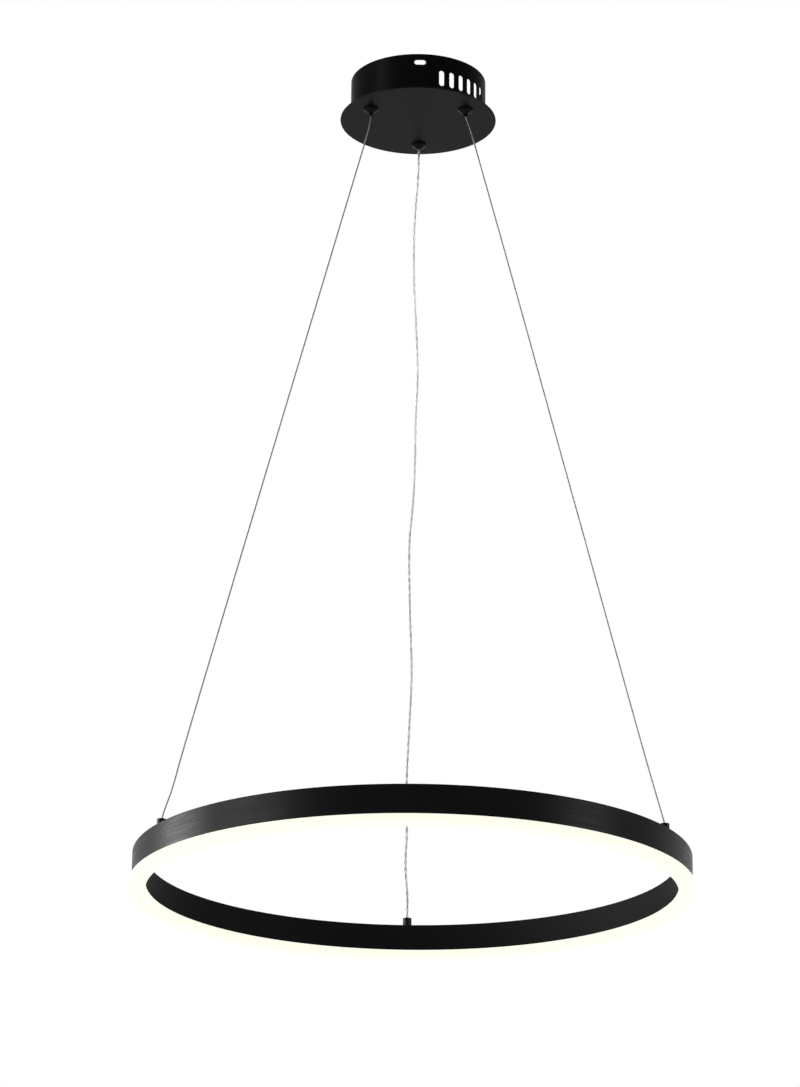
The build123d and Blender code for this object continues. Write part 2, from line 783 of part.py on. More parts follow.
with BuildPart() as leds:
    with BuildSketch(Plane.XY.offset(led_board_top - led_board_thickness)):
        with PolarLocations(ring_mid_radius, led_count):
            Rectangle(led_length, led_width)
    extrude(amount=-led_height)
save(leds, "leds")

with BuildPart() as board_leads:
    with BuildSketch(Plane.XY.offset(led_board_top)):
        with Locations(cord_ferrule):
            with GridLocations(cord_radius, 0, 2, 1):
                Circle(cord_radius / 4)
    extrude(amount=cord_end_bottom - led_board_top)
save(board_leads, "board_leads")

# Diffuser: an opal trough pushed up between the walls until it meets the lower ribs, with a rim under both
# walls that stands out beyond the outer one
diffuser_outer = ring_radius - ring_wall - diffuser_clearance
diffuser_inner = ring_inner_radius + ring_wall + diffuser_clearance
diffuser_rim_outer = ring_radius + diffuser_rim_reach
diffuser_rim_top = ring_bottom - diffuser_rim_gap
diffuser_rim_height = diffuser_rim_top - diffuser_bottom
with BuildPart() as diffuser:
    with BuildSketch(Plane.XZ) as trough:
        with Locations((ring_inner_radius, diffuser_bottom)):
            Rectangle(
                diffuser_rim_outer - ring_inner_radius, diffuser_rim_height, align=(Align.MIN, Align.MIN)
            )
        fillet(trough.vertices().group_by(Axis.Y)[0], diffuser_round)
        fillet(trough.vertices().group_by(Axis.Y)[-1], diffuser_rim_round)
        with Locations((diffuser_inner, diffuser_bottom + diffuser_wall)):
            Rectangle(
                diffuser_outer - diffuser_inner,
                diffuser_top - diffuser_bottom - diffuser_wall,
                align=(Align.MIN, Align.MIN),
            )
        with Locations((diffuser_inner + diffuser_wall, diffuser_bottom + diffuser_wall)):
            Rectangle(
                diffuser_outer - diffuser_inner - 2 * diffuser_wall,
                diffuser_top - diffuser_bottom - diffuser_wall,
                align=(Align.MIN, Align.MIN),
                mode=Mode.SUBTRACT,
            )
            Rectangle(
                diffuser_rim_outer - diffuser_inner - 2 * diffuser_wall,
                diffuser_rim_height - 2 * diffuser_wall,
                align=(Align.MIN, Align.MIN),
                mode=Mode.SUBTRACT,
            )
    revolve(axis=Axis.Z)
save(diffuser, "diffuser")

# Ferrules: a cap over a flanged stud, which a nut holds from inside the ring
stud_bottom = deck_bottom - ferrule_nut_height - ferrule_stud_spare
for side, place in ferrules.items():
    carries_cord = side == "cord"
    line_radius = cord_radius if carries_cord else wire_radius
    mouth_radius = line_radius + (cord_hole_clearance if carries_cord else wire_hole_clearance)
    stem_radius = cord_stud_radius if carries_cord else ferrule_stud_radius

    with BuildPart() as ferrule_cap:
        with BuildSketch(Plane.XY.offset(deck_top)):
            with Locations(place):
                Circle(ferrule_radius)
        extrude(amount=ferrule_height)
        fillet(ferrule_cap.faces().sort_by(Axis.Z)[-1].edges(), ferrule_edge_round)
        with BuildSketch(Plane.XY.offset(deck_top)):
            with Locations(place):
                Circle(cavity_radius)
        extrude(amount=cavity_top - deck_top, mode=Mode.SUBTRACT)
        with BuildSketch(Plane.XY.offset(cavity_top)):
            with Locations(place):
                Circle(mouth_radius)
        extrude(amount=ferrule_roof, mode=Mode.SUBTRACT)
    save(ferrule_cap, f"{side}_ferrule_cap")

    with BuildPart() as ferrule_stud:
        with BuildSketch(Plane.XY.offset(deck_top)):
            with Locations(place):
                Circle(cavity_radius - ferrule_fit)
        extrude(amount=ferrule_flange_height)
        with BuildSketch(Plane.XY.offset(stud_bottom)):
            with Locations(place):
                Circle(stem_radius)
        extrude(amount=deck_top - stud_bottom)
        if carries_cord:
            with BuildSketch(Plane.XY.offset(stud_bottom)):
                with Locations(place):
                    Circle(cord_radius + cord_hole_clearance)
            extrude(amount=deck_top + ferrule_flange_height - stud_bottom, mode=Mode.SUBTRACT)
    save(ferrule_stud, f"{side}_ferrule_stud")

    bead_name = "cord_crimp" if carries_cord else f"{side}_wire_bead"
    with BuildPart() as bead:
        with BuildSketch(Plane.XY.offset(deck_top + ferrule_flange_height)):
            with Locations(place):
                Circle(cord_crimp_radius if carries_cord else bead_radius)
                if carries_cord:
                    Circle(cord_radius + crimp_clearance, mode=Mode.SUBTRACT)
        extrude(amount=bead_height)
    save(bead, bead_name)

with BuildPart() as ferrule_nuts:
    with BuildSketch(Plane.XY.offset(deck_bottom)):
        for side, place in ferrules.items():
            nut_stem = cord_stud_radius if side == "cord" else ferrule_stud_radius
            with Locations(place):
                RegularPolygon(nut_stem + ferrule_nut_wall, 6, major_radius=False)
                Circle(nut_stem + thread_clearance, mode=Mode.SUBTRACT)
    extrude(amount=-ferrule_nut_height)
save(ferrule_nuts, "ferrule_nuts")
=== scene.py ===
import bmesh
import bpy
import math
from mathutils import Matrix, Vector


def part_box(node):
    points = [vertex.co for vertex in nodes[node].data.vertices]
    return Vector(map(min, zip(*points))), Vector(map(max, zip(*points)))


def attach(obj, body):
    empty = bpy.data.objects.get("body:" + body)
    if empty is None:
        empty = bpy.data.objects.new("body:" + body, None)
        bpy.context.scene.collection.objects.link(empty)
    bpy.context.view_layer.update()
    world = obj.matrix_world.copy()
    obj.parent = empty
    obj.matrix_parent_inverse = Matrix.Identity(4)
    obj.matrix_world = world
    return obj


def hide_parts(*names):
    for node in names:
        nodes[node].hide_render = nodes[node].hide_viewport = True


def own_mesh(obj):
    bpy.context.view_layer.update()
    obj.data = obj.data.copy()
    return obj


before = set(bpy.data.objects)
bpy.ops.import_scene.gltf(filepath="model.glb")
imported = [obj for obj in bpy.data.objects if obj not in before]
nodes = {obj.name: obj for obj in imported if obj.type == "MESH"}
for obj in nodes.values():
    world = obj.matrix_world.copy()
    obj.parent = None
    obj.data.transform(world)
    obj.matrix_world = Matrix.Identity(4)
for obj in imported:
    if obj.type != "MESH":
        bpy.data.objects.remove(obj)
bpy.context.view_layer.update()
scene = bpy.context.scene
scene.view_settings.view_transform = "Standard"
mm = 0.001
pureWhite = (1, 1, 1, 1)
print("frame loaded:", len(nodes), "nodes")

# Camera, on the photograph's viewing angle: far off, and looking up from below the ring
cameraSet = {
    "place": (0.01126, -4.0821, -1.9877),
    "yaw": -0.387,
    "pitch": 19.274,
    "roll": 0.52,
    "lens": 129.81,
    "sensor": 36.0,
    "clipEnd": 60,
}


def makeCamera(s):
    yaw, pitch, roll = (math.radians(s[key]) for key in ("yaw", "pitch", "roll"))
    ahead = Vector((math.sin(yaw) * math.cos(pitch), math.cos(yaw) * math.cos(pitch), math.sin(pitch)))
    level = Vector((math.cos(yaw), -math.sin(yaw), 0))
    above = level.cross(ahead)
    right = math.cos(roll) * level + math.sin(roll) * above
    up = math.cos(roll) * above - math.sin(roll) * level
    data = bpy.data.cameras.new("camera")
    data.lens = s["lens"]
    data.sensor_width = s["sensor"]
    data.clip_end = s["clipEnd"]
    camera = bpy.data.objects.new("camera", data)
    scene.collection.objects.link(camera)
    turn = Matrix((right, up, -ahead)).transposed().to_4x4()
    camera.matrix_world = Matrix.Translation(Vector(s["place"])) @ turn
    scene.camera = camera


makeCamera(cameraSet)
print("camera set")


# Materials: colours are sRGB hex, patterns are sized in millimetres
def fromHex(text):
    values = [int(text[i:i + 2], 16) / 255 for i in (0, 2, 4)]
    return [v / 12.92 if v <= 0.04045 else ((v + 0.055) / 1.055) ** 2.4 for v in values] + [1.0]


def addNode(tree, kind, inputs=None, settings=None):
    node = tree.nodes.new(kind)
    for name, value in (settings or {}).items():
        setattr(node, name, value)
    for name, value in (inputs or {}).items():
        if isinstance(value, bpy.types.NodeSocket):
            tree.links.new(value, node.inputs[name])
        else:
            node.inputs[name].default_value = value
    return node


def startMaterial(name, sockets):
    material = bpy.data.materials.new(name)
    material.use_nodes = True
    tree = material.node_tree
    shader = tree.nodes["Principled BSDF"]
    for socket, value in sockets.items():
        shader.inputs[socket].default_value = value
    place = addNode(tree, "ShaderNodeTexCoord").outputs["Object"]
    return material, tree, shader, place


def perMetre(sizeInMm):
    return 1000.0 / sizeInMm


# Polyester powder coat on steel: deep black, satin on the plate and matt on the can, with a fine orange peel
powderSet = {"peelMm": 1.6, "cloudMm": 38.0, "smoothest": 0.29, "roughest": 0.35}


def makePowderCoat(name, specular, s):
    material, tree, shader, place = startMaterial(name, {"Specular IOR Level": specular, "IOR": 1.5})
    peel = addNode(
        tree, "ShaderNodeTexNoise", {"Vector": place, "Scale": perMetre(s["peelMm"]), "Detail": 2.0}
    )
    cloud = addNode(
        tree, "ShaderNodeTexNoise", {"Vector": place, "Scale": perMetre(s["cloudMm"]), "Detail": 3.0}
    )
    tone = addNode(tree, "ShaderNodeValToRGB", {"Fac": cloud.outputs["Fac"]})
    tone.color_ramp.elements[0].color = fromHex("060606")
    tone.color_ramp.elements[1].color = fromHex("090909")
    rough = addNode(
        tree, "ShaderNodeMapRange",
        {"Value": cloud.outputs["Fac"], "To Min": s["smoothest"], "To Max": s["roughest"]},
    )
    bump = addNode(
        tree, "ShaderNodeBump", {"Height": peel.outputs["Fac"], "Strength": 0.06, "Distance": 0.05 * mm}
    )
    tree.links.new(tone.outputs["Color"], shader.inputs["Base Color"])
    tree.links.new(rough.outputs["Result"], shader.inputs["Roughness"])
    tree.links.new(bump.outputs["Normal"], shader.inputs["Normal"])
    return material


# Anodised aluminium extrusion, dyed black: drawn lines run round the ring, and its inside is left duller
anodisedSet = {
    "lineMm": 2.0,  # real lines are too fine to show
    "alongLine": 0.05,  # the pattern is drawn out twenty times round the ring
    "smoothest": 0.22,
    "roughest": 0.5,
    "insideRoughness": 0.62,
    "insideEnds": 288 * mm,
    "outsideStarts": 296 * mm,
}


def makeAnodised(s):
    material, tree, shader, place = startMaterial(
        "blackAnodisedAluminium", {"Specular IOR Level": 0.05, "IOR": 1.5}
    )
    stretch = addNode(
        tree, "ShaderNodeMapping", {"Vector": place, "Scale": (s["alongLine"], s["alongLine"], 1.0)}
    )
    lines = addNode(
        tree, "ShaderNodeTexNoise",
        {"Vector": stretch.outputs["Vector"], "Scale": perMetre(s["lineMm"]), "Detail": 4.0},
    )
    tone = addNode(tree, "ShaderNodeValToRGB", {"Fac": lines.outputs["Fac"]})
    tone.color_ramp.elements[0].color = fromHex("020202")
    tone.color_ramp.elements[1].color = fromHex("060606")
    rough = addNode(
        tree, "ShaderNodeMapRange",
        {"Value": lines.outputs["Fac"], "To Min": s["smoothest"], "To Max": s["roughest"]},
    )
    flat = addNode(tree, "ShaderNodeMapping", {"Vector": place, "Scale": (1.0, 1.0, 0.0)})
    reach = addNode(tree, "ShaderNodeVectorMath", {0: flat.outputs["Vector"]}, {"operation": "LENGTH"})
    outside = addNode(
        tree, "ShaderNodeMapRange",
        {"Value": reach.outputs["Value"], "From Min": s["insideEnds"], "From Max": s["outsideStarts"]},
    )
    finish = addNode(
        tree, "ShaderNodeMix",
        {"Factor": outside.outputs["Result"], "A": s["insideRoughness"], "B": rough.outputs["Result"]},
    )
    bump = addNode(
        tree, "ShaderNodeBump", {"Height": lines.outputs["Fac"], "Strength": 0.15, "Distance": 0.03 * mm}
    )
    tree.links.new(tone.outputs["Color"], shader.inputs["Base Color"])
    tree.links.new(finish.outputs["Result"], shader.inputs["Roughness"])
    tree.links.new(bump.outputs["Normal"], shader.inputs["Normal"])
    return material


# Turned brass, blackened: lacquered on the ring's ferrules, duller on the canopy's fittings
brassSet = {"lineMm": 1.2, "spread": 0.03}  # real turning lines are too fine to show


def makeBlackBrass(name, roughness, s):
    material, tree, shader, place = startMaterial(name, {"Specular IOR Level": 0.05, "IOR": 1.5})
    lines = addNode(
        tree, "ShaderNodeTexWave", {"Vector": place, "Scale": perMetre(s["lineMm"]), "Distortion": 0.4},
        {"bands_direction": "Z"},
    )
    tone = addNode(tree, "ShaderNodeValToRGB", {"Fac": lines.outputs["Fac"]})
    tone.color_ramp.elements[0].color = fromHex("060606")
    tone.color_ramp.elements[1].color = fromHex("0b0b0b")
    rough = addNode(
        tree, "ShaderNodeMapRange",
        {"Value": lines.outputs["Fac"], "To Min": roughness - s["spread"], "To Max": roughness + s["spread"]},
    )
    tree.links.new(tone.outputs["Color"], shader.inputs["Base Color"])
    tree.links.new(rough.outputs["Result"], shader.inputs["Roughness"])
    return material


# Opal acrylic, extruded and lit from inside, its glow carrying painted shade: cream where the walls shade it,
# whiter at its lower face
opalSet = {"hazeMm": 25.0, "glow": 0.97, "paintedShadeEnds": -956.5 * mm, "unshadedWhiteStarts": -966.5 * mm}


def makeOpal(s):
    material, tree, shader, place = startMaterial(
        "opalAcrylic",
        {"Roughness": 0.6, "Specular IOR Level": 0.02, "IOR": 1.49, "Emission Strength": s["glow"]},
    )
    haze = addNode(
        tree, "ShaderNodeTexNoise", {"Vector": place, "Scale": perMetre(s["hazeMm"]), "Detail": 2.0}
    )
    tone = addNode(tree, "ShaderNodeValToRGB", {"Fac": haze.outputs["Fac"]})
    tone.color_ramp.elements[0].color = fromHex("3b3a35")
    tone.color_ramp.elements[1].color = fromHex("42413b")
    height = addNode(tree, "ShaderNodeSeparateXYZ", {"Vector": place}).outputs["Z"]
    below = addNode(
        tree, "ShaderNodeMapRange",
        {"Value": height, "From Min": s["paintedShadeEnds"], "From Max": s["unshadedWhiteStarts"]},
    )
    # painted shade in the glow's colour: cream higher up, white towards the lower face
    glow = addNode(tree, "ShaderNodeValToRGB", {"Fac": below.outputs["Result"]})
    glow.color_ramp.elements[0].color = fromHex("fffeee")
    glow.color_ramp.elements[1].color = fromHex("ffffff")
    tree.links.new(tone.outputs["Color"], shader.inputs["Base Color"])
    tree.links.new(glow.outputs["Color"], shader.inputs["Emission Color"])
    return material


# Metals seen bare: plated, pressed or drawn, with a soft grain
metalSet = {"spread": 0.06}


def makeMetal(name, dark, light, roughness, grainMm, s):
    material, tree, shader, place = startMaterial(name, {"Metallic": 1.0})
    grain = addNode(tree, "ShaderNodeTexNoise", {"Vector": place, "Scale": perMetre(grainMm), "Detail": 3.0})
    tone = addNode(tree, "ShaderNodeValToRGB", {"Fac": grain.outputs["Fac"]})
    tone.color_ramp.elements[0].color = fromHex(dark)
    tone.color_ramp.elements[1].color = fromHex(light)
    rough = addNode(
        tree, "ShaderNodeMapRange",
        {"Value": grain.outputs["Fac"], "To Min": roughness - s["spread"], "To Max": roughness + s["spread"]},
    )
    tree.links.new(tone.outputs["Color"], shader.inputs["Base Color"])
    tree.links.new(rough.outputs["Result"], shader.inputs["Roughness"])
    return material


# Stranded copper, tinned, seen through the clear cover: painted light makes it lighter near the canopy,
# painted shade darker towards the ring
copperSet = {
    "grainMm": 4.0,
    "darkShare": 0.35,
    "lightShare": 0.65,
    "paintedLightTones": ("928f89", "cecbc4"),
    "paintedShadeTones": ("4e4e4c", "a8a7a4"),
    "paintedLightEnds": -370 * mm,
    "paintedShadeStarts": -500 * mm,
}


def makeCordCopper(s):
    material, tree, shader, place = startMaterial(
        "strandedTinnedCopper", {"Metallic": 1.0, "Roughness": 0.35}
    )
    grain = addNode(
        tree, "ShaderNodeTexNoise", {"Vector": place, "Scale": perMetre(s["grainMm"]), "Detail": 3.0}
    )
    tones = []
    for dark, light in (s["paintedLightTones"], s["paintedShadeTones"]):
        tone = addNode(tree, "ShaderNodeValToRGB", {"Fac": grain.outputs["Fac"]})
        tone.color_ramp.elements[0].position = s["darkShare"]
        tone.color_ramp.elements[1].position = s["lightShare"]
        tone.color_ramp.elements[0].color = fromHex(dark)
        tone.color_ramp.elements[1].color = fromHex(light)
        tones.append(tone.outputs["Color"])
    # painted light and shade by height: the lighter tones near the canopy, the darker tones towards the ring
    height = addNode(tree, "ShaderNodeSeparateXYZ", {"Vector": place}).outputs["Z"]
    low = addNode(
        tree, "ShaderNodeMapRange",
        {"Value": height, "From Min": s["paintedLightEnds"], "From Max": s["paintedShadeStarts"]},
    )
    # a colour mix has its factor at 0, its two colours at 6 and 7, and its result at 2
    mix = addNode(
        tree, "ShaderNodeMix", {0: low.outputs["Result"], 6: tones[0], 7: tones[1]}, {"data_type": "RGBA"}
    )
    tree.links.new(mix.outputs[2], shader.inputs["Base Color"])
    return material


# Plastics, boards and paint: moulded, pressed or rolled on, with a slight grain
def makePlastic(name, dark, light, roughness, grainMm):
    material, tree, shader, place = startMaterial(name, {"Roughness": roughness, "IOR": 1.5})
    grain = addNode(tree, "ShaderNodeTexNoise", {"Vector": place, "Scale": perMetre(grainMm), "Detail": 2.0})
    tone = addNode(tree, "ShaderNodeValToRGB", {"Fac": grain.outputs["Fac"]})
    tone.color_ramp.elements[0].color = fromHex(dark)
    tone.color_ramp.elements[1].color = fromHex(light)
    bump = addNode(
        tree, "ShaderNodeBump", {"Height": grain.outputs["Fac"], "Strength": 0.1, "Distance": 0.05 * mm}
    )
    tree.links.new(tone.outputs["Color"], shader.inputs["Base Color"])
    tree.links.new(bump.outputs["Normal"], shader.inputs["Normal"])
    return material


# Clear plasticised PVC, extruded: see-through with a slight warm haze
pvcSet = {"hazeMm": 9.0}


def makeClearPvc(s):
    material, tree, shader, place = startMaterial(
        "clearPvc", {"Roughness": 0.06, "IOR": 1.5, "Transmission Weight": 1.0}
    )
    haze = addNode(
        tree, "ShaderNodeTexNoise", {"Vector": place, "Scale": perMetre(s["hazeMm"]), "Detail": 2.0}
    )
    tone = addNode(tree, "ShaderNodeValToRGB", {"Fac": haze.outputs["Fac"]})
    tone.color_ramp.elements[0].color = fromHex("e6e5df")
    tone.color_ramp.elements[1].color = fromHex("f4f4f0")
    tree.links.new(tone.outputs["Color"], shader.inputs["Base Color"])
    return material


plateCoat = makePowderCoat("satinBlackPowderCoat", specular=0.03, s=powderSet)
canCoat = makePowderCoat("mattBlackPowderCoat", specular=0.007, s=powderSet)
anodised = makeAnodised(anodisedSet)
lacquer = makeBlackBrass("blackLacqueredBrass", roughness=0.08, s=brassSet)
blackBrass = makeBlackBrass("blackenedBrass", roughness=0.24, s=brassSet)
opal = makeOpal(opalSet)
clearPvc = makeClearPvc(pvcSet)
# zinc plate is bright and a little blue, rope sparkles darkly, drawn wire is an even mid grey
zincPlate = makeMetal("zincPlatedSteel", "b4b6b8", "c8cacc", roughness=0.34, grainMm=3.0, s=metalSet)
wireSteel = makeMetal("stainlessRope", "545557", "808285", roughness=0.34, grainMm=0.5, s=metalSet)
drawnSteel = makeMetal("drawnSteelWire", "8f9193", "a9abad", roughness=0.3, grainMm=2.0, s=metalSet)
# pressed aluminium is pale with a soft gloss, tinned copper a warm silver
crimpMetal = makeMetal("pressedAluminium", "b8babc", "ced0d2", roughness=0.4, grainMm=1.5, s=metalSet)
tinnedCopper = makeMetal("tinnedCopper", "98958f", "bebbb5", roughness=0.35, grainMm=1.0, s=metalSet)
cordCopper = makeCordCopper(copperSet)
# moulded polycarbonate is off-white and satin, and the boards have a green or white coat
whitePlastic = makePlastic("whitePolycarbonate", "dcdcd6", "e4e4de", roughness=0.42, grainMm=1.2)
boardGreen = makePlastic("fibreglassBoard", "1d5a33", "23663b", roughness=0.5, grainMm=2.5)
boardWhite = makePlastic("whiteCoatedBoard", "e2e2dc", "ebebe6", roughness=0.5, grainMm=2.5)
# moulded epoxy is near black, and an LED is yellow where its phosphor shows
partsBlack = makePlastic("epoxyComponents", "1c1a18", "2a2825", roughness=0.45, grainMm=2.0)
ledYellow = makePlastic("phosphorLed", "e8d27a", "f0dc8c", roughness=0.4, grainMm=1.0)
# extruded lead insulation in four colours is soft and satin, and moulded rubber is matt
leadBrown = makePlastic("brownLeadInsulation", "5c3a22", "67432a", roughness=0.45, grainMm=2.0)
leadBlue = makePlastic("blueLeadInsulation", "2a4f86", "315a96", roughness=0.45, grainMm=2.0)
leadRed = makePlastic("redLeadInsulation", "8c2420", "9a2c26", roughness=0.45, grainMm=2.0)
leadBlack = makePlastic("blackLeadInsulation", "1a1a1a", "222222", roughness=0.45, grainMm=2.0)
rubber = makePlastic("softRubber", "1c1c1c", "242424", roughness=0.7, grainMm=1.5)
print("materials made")

# Dressing: the finish of each solid that shows as it is
dressing = [
    (plateCoat, ["canopy_plate"]),
    (canCoat, ["canopy_can"]),
    (anodised, ["ring_profile"]),
    (blackBrass, ["left_gripper_body", "right_gripper_body", "cord_grip_body"]),
    (blackBrass, ["left_plunger", "right_plunger"]),
    (lacquer, ["left_ferrule_cap", "right_ferrule_cap", "cord_ferrule_cap"]),
    (zincPlate, ["ceiling_strap", "plate_nuts", "left_gripper_nut", "right_gripper_nut", "cord_grip_nut"]),
    (zincPlate, ["left_gripper_plug", "right_gripper_plug", "terminal_screws", "ferrule_nuts"]),
    (zincPlate, ["left_ferrule_stud", "right_ferrule_stud", "cord_ferrule_stud"]),
    (drawnSteel, ["left_balls", "right_balls"]),
    (crimpMetal, ["left_wire_stop", "right_wire_stop", "left_wire_bead", "right_wire_bead"]),
    (crimpMetal, ["cord_stop", "cord_crimp"]),
    (clearPvc, ["cord_end"]),
    (rubber, ["cord_grip_bush"]),
    (opal, ["diffuser"]),
    (whitePlastic, ["driver_tray", "driver_lid", "terminal_block"]),
    (boardGreen, ["driver_board"]),
    (boardWhite, ["led_board"]),
    (partsBlack, ["driver_components"]),
    (ledYellow, ["leds"]),
    (tinnedCopper, ["board_leads"]),
]
for material, names in dressing:
    for name in names:
        nodes[name].data.materials.clear()
        nodes[name].data.materials.append(material)
print("solids dressed")


# Lines: each follows one smooth curve along a route of points, in metres
def meshOf(curve):
    holder = bpy.data.objects.new(curve.name, curve)
    scene.collection.objects.link(holder)
    bpy.context.view_layer.update()
    mesh = bpy.data.meshes.new_from_object(holder.evaluated_get(bpy.context.evaluated_depsgraph_get()))
    bpy.data.objects.remove(holder)
    bpy.data.curves.remove(curve)
    return mesh


def lineOfRoute(name, points, resolution):
    curve = bpy.data.curves.new(name, "CURVE")
    curve.dimensions = "3D"
    curve.resolution_u = resolution
    spline = curve.splines.new("NURBS")
    spline.points.add(len(points) - 1)
    for point, place in zip(spline.points, points):
        point.co = (*place, 1.0)
    spline.order_u = 3
    spline.use_endpoint_u = True
    mesh = meshOf(curve)
    line = [v.co.copy() for v in mesh.vertices]
    bpy.data.meshes.remove(mesh)
    return line


def thinned(line, step):
    kept = [line[0]]
    for point in line[1:-1]:
        if (point - kept[-1]).length >= step:
            kept.append(point)
    return kept + [line[-1]]


def lengthOf(line):
    return sum((b - a).length for a, b in zip(line, line[1:]))


def strandsAlong(name, line, strands, layLength, sides, material):
    # each strand is (distance from the middle, its own radius, its start angle), wound once in layLength
    curve = bpy.data.curves.new(name, "CURVE")
    curve.dimensions = "3D"
    curve.bevel_resolution = sides
    curve.use_fill_caps = True
    curve.bevel_depth = 1.0  # so a point's radius is in metres
    splines = [curve.splines.new("POLY") for _ in strands]
    for spline in splines:
        spline.points.add(len(line) - 1)
    ahead = (line[1] - line[0]).normalized()
    aside = ahead.orthogonal().normalized()
    walked = 0.0
    for i, place in enumerate(line):
        before = line[max(i - 1, 0)]
        after = line[min(i + 1, len(line) - 1)]
        nowAhead = (after - before).normalized()
        aside = ahead.rotation_difference(nowAhead) @ aside
        aside = (aside - aside.dot(nowAhead) * nowAhead).normalized()
        ahead = nowAhead
        walked += (place - before).length
        across = ahead.cross(aside)
        for spline, (distance, radius, start) in zip(splines, strands):
            angle = start + 2 * math.pi * walked / layLength
            offset = distance * (math.cos(angle) * aside + math.sin(angle) * across)
            spline.points[i].co = (*(place + offset), 1.0)
            spline.points[i].radius = radius
    mesh = meshOf(curve)
    mesh.name = name
    mesh.materials.clear()
    mesh.materials.append(material)
    for face in mesh.polygons:
        face.use_smooth = True
    piece = bpy.data.objects.new(name, mesh)
    scene.collection.objects.link(piece)
    return piece


def tubeAlong(name, line, radius, sides, material):
    return strandsAlong(name, line, [(0.0, radius, 0.0)], lengthOf(line), sides, material)


# Suspension wires: stainless rope, six strands laid round a seventh, bowed a little as they hang
wireSet = {
    "radius": 0.85 * mm,
    "strandRadius": 0.29 * mm,
    "outerStrands": 6,
    "layLength": 11.0 * mm,
    "resolution": 900,
    "step": 0.9 * mm,
    "sides": 2,
    "mouth": -0.0564,  # height at which a wire leaves its gripper
    "left": [
        (-0.05346, -0.032377, -0.0281), (-0.05346, -0.032377, -0.0505), (-0.05346, -0.032377, -0.0645),
        (-0.0641, -0.0375, -0.1079), (-0.2402, -0.1215, -0.8275), (-0.25105, -0.1275, -0.8784),
        (-0.2589, -0.1303, -0.9025), (-0.261311, -0.131426, -0.9123), (-0.261311, -0.131426, -0.9161),
    ],
    "right": [
        (0.054017, -0.031439, -0.0281), (0.054017, -0.031439, -0.049), (0.054017, -0.031439, -0.0558),
        (0.0580, -0.0326, -0.0665), (0.0677, -0.0370, -0.106), (0.1123, -0.0576, -0.289),
        (0.1471, -0.0741, -0.435), (0.1823, -0.0905, -0.581), (0.2174, -0.1069, -0.727),
        (0.2439, -0.1193, -0.837), (0.2606, -0.1267, -0.9025), (0.263121, -0.127765, -0.9123),
        (0.263121, -0.127765, -0.9161),
    ],
}


def makeWire(side, s):
    route = [Vector(point) for point in s[side]]
    line = thinned(lineOfRoute(side + "WireRoute", route, s["resolution"]), s["step"])
    layRadius = s["radius"] - s["strandRadius"]
    strands = [(0.0, s["strandRadius"], 0.0)]
    for i in range(s["outerStrands"]):
        strands.append((layRadius, s["strandRadius"], 2 * math.pi * i / s["outerStrands"]))
    wire = strandsAlong(side + "WireRope", line, strands, s["layLength"], s["sides"], wireSteel)
    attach(wire, "canopy")
    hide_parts(side + "_wire")
    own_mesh(wire)
    print(side, "wire made, length", round(lengthOf(line), 4))


makeWire("left", wireSet)
makeWire("right", wireSet)

# Return springs: one steel coil in each gripper
springSet = {
    "radius": 0.22 * mm,
    "turns": 5,
    "pointsPerTurn": 32,
    "sides": 3,
    "travel": 3.0 * mm,
    "top": -0.0366,  # the upper end stays at this height
}


def makeSpring(side, s):
    low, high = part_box(side + "_spring")
    middle = (low + high) / 2
    coil = (high.x - low.x) / 2 - s["radius"]
    rise = high.z - low.z - 2 * s["radius"]
    count = s["turns"] * s["pointsPerTurn"]
    line = []
    for i in range(count + 1):
        angle = 2 * math.pi * i / s["pointsPerTurn"]
        height = low.z + s["radius"] + rise * i / count
        line.append(Vector((middle.x + coil * math.cos(angle), middle.y + coil * math.sin(angle), height)))
    spring = tubeAlong(side + "SpringCoil", line, s["radius"], s["sides"], drawnSteel)
    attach(spring, "canopy")
    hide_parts(side + "_spring")
    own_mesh(spring)


makeSpring("left", springSet)
makeSpring("right", springSet)
print("springs made")

# Power cord: two clear lobes with a tinned core in each, twisted, wavy from its coil
cordSet = {
    "lobeRadius": 0.85 * mm,
    "lobeShift": 0.74 * mm,
    "coreRadius": 0.34 * mm,
    "width": 0.0032,
    "twist": 0.018,
    "resolution": 60,
    "step": 1.2 * mm,
    "lobeSides": 3,
    "coreSides": 1,
    "mouth": -0.0537,  # height at which the cord leaves its grip
    "route": [
        (0.000873, 0.062494, -0.0311), (0.000873, 0.062494, -0.0633), (0.0005, 0.069, -0.085),
        (-0.001, 0.0755, -0.106), (-0.003, 0.081, -0.126), (-0.0039, 0.088, -0.152),
        (-0.0041, 0.0965, -0.18), (-0.0035, 0.1025, -0.204), (-0.0022, 0.1095, -0.232),
        (-0.0003, 0.1175, -0.262), (0.0011, 0.126, -0.292), (0.0016, 0.1315, -0.315),
        (-0.0006, 0.1415, -0.349), (-0.0005, 0.15, -0.38), (-0.001, 0.1575, -0.408),
        (-0.0019, 0.165, -0.438), (-0.0038, 0.1715, -0.463), (-0.0069, 0.18, -0.493),
        (-0.0066, 0.1895, -0.527), (-0.0059, 0.1985, -0.562), (-0.0046, 0.2075, -0.596),
        (-0.0029, 0.217, -0.628), (-0.003, 0.224, -0.655), (-0.0046, 0.232, -0.688),
        (-0.0062, 0.2405, -0.721), (-0.0075, 0.249, -0.752), (-0.0086, 0.2575, -0.784),
        (-0.0067, 0.2675, -0.822), (-0.0092, 0.277, -0.855), (-0.0058, 0.2855, -0.886),
        (-0.006126, 0.292436, -0.9075), (-0.006126, 0.292436, -0.9123),
    ],
}


